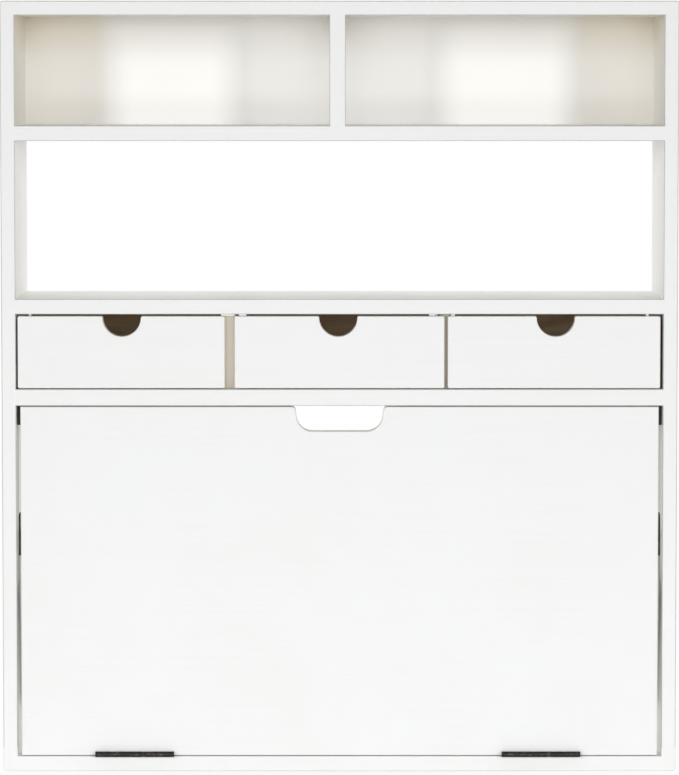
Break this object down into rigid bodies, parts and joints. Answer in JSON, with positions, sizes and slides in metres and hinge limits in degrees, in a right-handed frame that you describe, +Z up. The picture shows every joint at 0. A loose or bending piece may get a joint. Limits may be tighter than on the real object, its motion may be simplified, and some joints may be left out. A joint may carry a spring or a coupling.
{
  "type": "secretary desk",
  "caption": "Wall-mounted white cabinet with open compartments, small drawers and a drop-down desk leaf held by folding stays.",
  "frame": {"origin": "on the wall plane, midway between the two wall screws", "axes": "+X to the right seen from the front, +Y into the wall, +Z up; the front faces -Y"},
  "size_m": [0.711, 0.1563, 0.813],
  "materials": {
    "white_paint": "satin white paint over wood",
    "back_paint": "satin white paint over a thin panel",
    "bare_wood": "unpainted wood, waxed",
    "dowel_wood": "raw beech",
    "hinge_steel": "dark bronzed steel, satin",
    "stay_steel": "black painted steel",
    "rivet_steel": "darkened steel rivets",
    "screw_steel": "blackened steel",
    "catch_plastic": "black moulded plastic",
    "magnet": "dark ferrite",
    "strike_steel": "plain steel plate",
    "glide_plastic": "white plastic"
  },
  "bodies": {
    "case": {"side_left": "white_paint", "side_right": "white_paint", "top_board": "white_paint", "upper_shelf": "white_paint", "drawer_shelf": "white_paint", "leaf_shelf": "white_paint", "bottom_board": "white_paint", "compartment_divider": "white_paint", "back_panel": "back_paint", "drawer_divider_left": "white_paint", "drawer_divider_right": "white_paint", "drawer_glide_pads": "glide_plastic", "case_dowels": "dowel_wood", "case_screws": "screw_steel", "hinge_left_case_plate": "hinge_steel", "hinge_left_pin": "hinge_steel", "stay_left_side_plate": "stay_steel", "stay_left_pivot_rivet": "rivet_steel", "catch_left_housing": "catch_plastic", "catch_left_magnet": "magnet", "hinge_right_case_plate": "hinge_steel", "hinge_right_pin": "hinge_steel", "stay_right_side_plate": "stay_steel", "stay_right_pivot_rivet": "rivet_steel", "catch_right_housing": "catch_plastic", "catch_right_magnet": "magnet"},
    "leaf": {"desk_leaf": "white_paint", "leaf_screws": "screw_steel", "hinge_left_leaf_plate": "hinge_steel", "stay_left_bracket": "stay_steel", "stay_left_bracket_rivet": "rivet_steel", "catch_left_strike": "strike_steel", "hinge_right_leaf_plate": "hinge_steel", "stay_right_bracket": "stay_steel", "stay_right_bracket_rivet": "rivet_steel", "catch_right_strike": "strike_steel"},
    "stay_left_upper": {"stay_left_upper_arm": "stay_steel", "stay_left_elbow_rivet": "rivet_steel"},
    "stay_left_lower": {"stay_left_lower_arm": "stay_steel", "stay_left_elbow_cap": "rivet_steel"},
    "stay_right_upper": {"stay_right_upper_arm": "stay_steel", "stay_right_elbow_rivet": "rivet_steel"},
    "stay_right_lower": {"stay_right_lower_arm": "stay_steel", "stay_right_elbow_cap": "rivet_steel"},
    "drawer_left": {"drawer_left_front": "white_paint", "drawer_left_side_left": "bare_wood", "drawer_left_side_right": "bare_wood", "drawer_left_back": "bare_wood", "drawer_left_bottom": "bare_wood"},
    "drawer_middle": {"drawer_middle_front": "white_paint", "drawer_middle_side_left": "bare_wood", "drawer_middle_side_right": "bare_wood", "drawer_middle_back": "bare_wood", "drawer_middle_bottom": "bare_wood"},
    "drawer_right": {"drawer_right_front": "white_paint", "drawer_right_side_left": "bare_wood", "drawer_right_side_right": "bare_wood", "drawer_right_back": "bare_wood", "drawer_right_bottom": "bare_wood"}
  },
  "joints": [
    {"name": "leaf_fold", "type": "hinge", "parent": "case", "child": "leaf", "pos_m": [0, -0.1533, -0.7664], "axis": [1, 0, 0], "range_deg": [0, 90]},
    {"name": "drawer_left_slide", "type": "slide", "parent": "case", "child": "drawer_left", "axis": [0, -1, 0], "range_m": [0, 0.1]},
    {"name": "drawer_middle_slide", "type": "slide", "parent": "case", "child": "drawer_middle", "axis": [0, -1, 0], "range_m": [0, 0.1]},
    {"name": "drawer_right_slide", "type": "slide", "parent": "case", "child": "drawer_right", "axis": [0, -1, 0], "range_m": [0, 0.1]},
    {"name": "stay_left_upper_turn", "type": "hinge", "parent": "case", "child": "stay_left_upper", "pos_m": [0, -0.112, -0.537], "axis": [1, 0, 0], "range_deg": [-46.2, 0.5]},
    {"name": "stay_left_lower_turn", "type": "hinge", "parent": "leaf", "child": "stay_left_lower", "pos_m": [0, -0.127, -0.5914], "axis": [1, 0, 0], "range_deg": [-0.5, 30.2]},
    {"name": "stay_right_upper_turn", "type": "hinge", "parent": "case", "child": "stay_right_upper", "pos_m": [0, -0.112, -0.537], "axis": [1, 0, 0], "range_deg": [-46.2, 0.5]},
    {"name": "stay_right_lower_turn", "type": "hinge", "parent": "leaf", "child": "stay_right_lower", "pos_m": [0, -0.127, -0.5914], "axis": [1, 0, 0], "range_deg": [-0.5, 30.2]}
  ],
  "couplings": [
    {"joint": "stay_left_upper_turn", "follows": "leaf_fold", "ratio": -0.50819},
    {"joint": "stay_left_lower_turn", "follows": "leaf_fold", "ratio": 0.32991},
    {"joint": "stay_right_upper_turn", "follows": "leaf_fold", "ratio": -0.50819},
    {"joint": "stay_right_lower_turn", "follows": "leaf_fold", "ratio": 0.32991}
  ]
}
